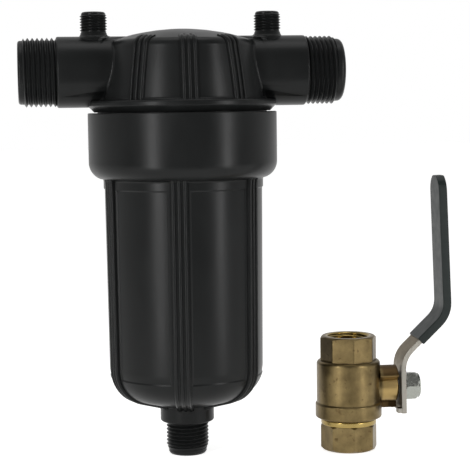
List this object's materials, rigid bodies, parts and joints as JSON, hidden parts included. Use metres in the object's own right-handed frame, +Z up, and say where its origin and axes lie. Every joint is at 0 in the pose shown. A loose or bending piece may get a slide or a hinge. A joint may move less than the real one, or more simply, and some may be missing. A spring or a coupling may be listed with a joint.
{
  "type": "self cleaning water filter",
  "caption": "In-line water filter with a threaded cross-pipe head, ribbed screw-on bowl, screen cartridge and drain nipple, with the lever ball valve that flushes it.",
  "frame": {"origin": "on the floor, under the middle of the box round the filter and its valve", "axes": "+Z up, from the drain to the head; +X along the pipe from inlet to outlet; +Y away from the side that the picture shows"},
  "size_m": [0.21, 0.0922, 0.2175],
  "materials": {
    "housing_nylon": "moulded, semi-matt black",
    "cartridge_plastic": "moulded, matt black",
    "seal_rubber": "moulded rubber",
    "screen_steel": "woven wire",
    "valve_brass": "cast, with turned faces",
    "white_ptfe": "turned",
    "ball_chrome": "polished plating",
    "stem_steel": "turned",
    "lever_steel": "pressed plate",
    "nut_zinc": "bright zinc plate",
    "sleeve_vinyl": "dipped vinyl, satin"
  },
  "bodies": {
    "base": {"bowl": "housing_nylon", "screen_cage": "cartridge_plastic", "screen_mesh": "screen_steel", "screen_top_ring": "cartridge_plastic", "screen_top_o_ring": "seal_rubber", "screen_bottom_ring": "cartridge_plastic", "screen_bottom_o_ring": "seal_rubber", "valve_body": "valve_brass", "valve_end_piece": "valve_brass", "end_seal": "white_ptfe", "upper_seat": "white_ptfe", "lower_seat": "white_ptfe", "stem_thrust_washer": "white_ptfe", "stem_packing": "white_ptfe", "gland_nut": "valve_brass"},
    "head_seal": {"bowl_o_ring": "seal_rubber"},
    "head": {"filter_head": "housing_nylon"},
    "flush_lever": {"lever": "lever_steel", "lever_sleeve": "sleeve_vinyl", "lever_nut": "nut_zinc", "stem": "stem_steel", "ball": "ball_chrome"}
  },
  "joints": [
    {"name": "head_rise", "type": "slide", "parent": "base", "child": "head_seal", "axis": [0, 0, 1], "range_m": [0, 0.02001]},
    {"name": "head_turn", "type": "hinge", "parent": "head_seal", "child": "head", "pos_m": [-0.02599, 0, 0.17], "axis": [0, 0, 1], "range_deg": [0, 1440]},
    {"name": "lever_turn", "type": "hinge", "parent": "base", "child": "flush_lever", "pos_m": [0.05441, -0.0069, 0.0305], "axis": [-1, 0, 0], "range_deg": [0, 90]}
  ],
  "couplings": [
    {"joint": "head_rise", "follows": "head_turn", "m_per_rad": 0.00079577}
  ]
}
